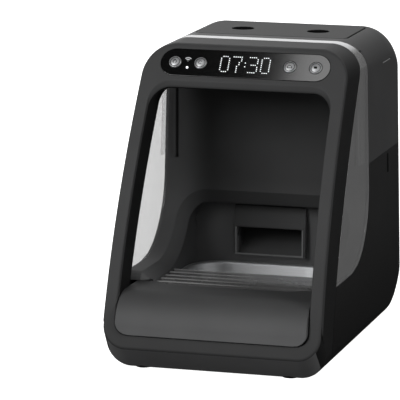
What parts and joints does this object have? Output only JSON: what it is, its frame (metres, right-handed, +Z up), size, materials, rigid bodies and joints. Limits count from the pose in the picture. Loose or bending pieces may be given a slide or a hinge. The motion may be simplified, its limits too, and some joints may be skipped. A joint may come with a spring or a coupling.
{
  "type": "microchip pet feeder",
  "caption": "Automatic pet feeder with a raked tunnel front, clear side windows, a steel bowl in a pull-out tray under a sliding shutter, a food tank with a lift-off lid and a control strip.",
  "frame": {"origin": "on the ground, under the middle of the case", "axes": "+Z up, -Y to the side where the pet eats, +X to the right seen from there"},
  "size_m": [0.2342, 0.372, 0.3215],
  "materials": {
    "dark_shell": "fine matte",
    "black_shell": "fine matte",
    "grey_shell": "satin",
    "clear_band": "smoked clear plastic",
    "smoked_plastic": "smoked, glossy",
    "black_gloss": "high gloss",
    "button_metal": "satin",
    "steel": "brushed",
    "rubber": "matte",
    "seal": "matte",
    "nylon": "satin",
    "circuit_board": "lacquered",
    "motor_metal": "satin",
    "copper": "bright wire",
    "light_plastic": "diffusing"
  },
  "bodies": {
    "base": {"front_frame": "dark_shell", "window_band": "clear_band", "side_guide_right": "clear_band", "side_guide_left": "clear_band", "lower_housing": "black_shell", "rear_cover": "black_shell", "dc_jack": "black_gloss", "base_plate": "black_shell", "liner": "dark_shell", "chute_hood": "dark_shell", "outlet_sensor": "black_gloss", "food_chute": "grey_shell", "dispenser_housing": "grey_shell", "feed_motor": "motor_metal", "shutter_tail": "smoked_plastic", "shutter_motor": "motor_metal", "panel_lens": "black_gloss", "control_board": "circuit_board", "display_module": "black_gloss", "status_light": "light_plastic", "reader_antenna": "copper", "main_board": "circuit_board", "tray_rail_right": "nylon", "tray_rail_left": "nylon", "base_screw_1": "motor_metal", "base_screw_2": "motor_metal", "base_screw_3": "motor_metal", "base_screw_4": "motor_metal", "foot_front_right": "rubber", "foot_front_left": "rubber", "foot_rear_right": "rubber", "foot_rear_left": "rubber"},
    "hopper": {"upper_housing": "dark_shell", "hopper_tank": "smoked_plastic"},
    "lid_body": {"lid": "grey_shell", "lid_seal": "seal", "desiccant_box": "nylon"},
    "drawer": {"apron": "grey_shell", "bowl_tray": "black_shell", "bowl": "steel"},
    "shutter": {"shutter_leaf": "smoked_plastic", "shutter_rack": "nylon"},
    "shutter_drive": {"shutter_pinion": "nylon"},
    "wheel": {"portion_wheel": "nylon", "wheel_shaft": "steel"},
    "latch_right": {"side_latch_right": "black_shell"},
    "latch_left": {"side_latch_left": "black_shell"},
    "button_body_1": {"button_1": "button_metal"},
    "button_body_2": {"button_2": "button_metal"},
    "button_body_3": {"button_3": "button_metal"},
    "button_body_4": {"button_4": "button_metal"}
  },
  "joints": [
    {"name": "hopper_lift", "type": "slide", "parent": "base", "child": "hopper", "axis": [0, 0, 1], "range_m": [0, 0.12]},
    {"name": "lid_lift", "type": "slide", "parent": "hopper", "child": "lid_body", "axis": [0, 0, 1], "range_m": [0, 0.08]},
    {"name": "drawer_slide", "type": "slide", "parent": "base", "child": "drawer", "axis": [0, -1, 0], "range_m": [0, 0.15]},
    {"name": "shutter_slide", "type": "slide", "parent": "base", "child": "shutter", "axis": [0, 1, 0], "range_m": [0, 0.066]},
    {"name": "pinion_spin", "type": "hinge", "parent": "base", "child": "shutter_drive", "pos_m": [0.0914, -0.043, 0.06205], "axis": [1, 0, 0], "range_deg": [-480, 5]},
    {"name": "wheel_spin", "type": "hinge", "parent": "base", "child": "wheel", "pos_m": [0, 0.097, 0.174], "axis": [1, 0, 0], "continuous": true},
    {"name": "latch_right_press", "type": "slide", "parent": "base", "child": "latch_right", "axis": [-1, 0, 0], "range_m": [0, 0.002], "stiffness_N_per_m": 500},
    {"name": "latch_left_press", "type": "slide", "parent": "base", "child": "latch_left", "axis": [1, 0, 0], "range_m": [0, 0.002], "stiffness_N_per_m": 500},
    {"name": "button_1_press", "type": "slide", "parent": "base", "child": "button_body_1", "axis": [0, 0.8113, -0.5846], "range_m": [0, 0.0007], "stiffness_N_per_m": 500},
    {"name": "button_2_press", "type": "slide", "parent": "base", "child": "button_body_2", "axis": [0, 0.8113, -0.5846], "range_m": [0, 0.0007], "stiffness_N_per_m": 500},
    {"name": "button_3_press", "type": "slide", "parent": "base", "child": "button_body_3", "axis": [0, 0.8113, -0.5846], "range_m": [0, 0.0007], "stiffness_N_per_m": 500},
    {"name": "button_4_press", "type": "slide", "parent": "base", "child": "button_body_4", "axis": [0, 0.8113, -0.5846], "range_m": [0, 0.0007], "stiffness_N_per_m": 500}
  ],
  "couplings": [
    {"joint": "pinion_spin", "follows": "shutter_slide", "rad_per_m": -125}
  ]
}
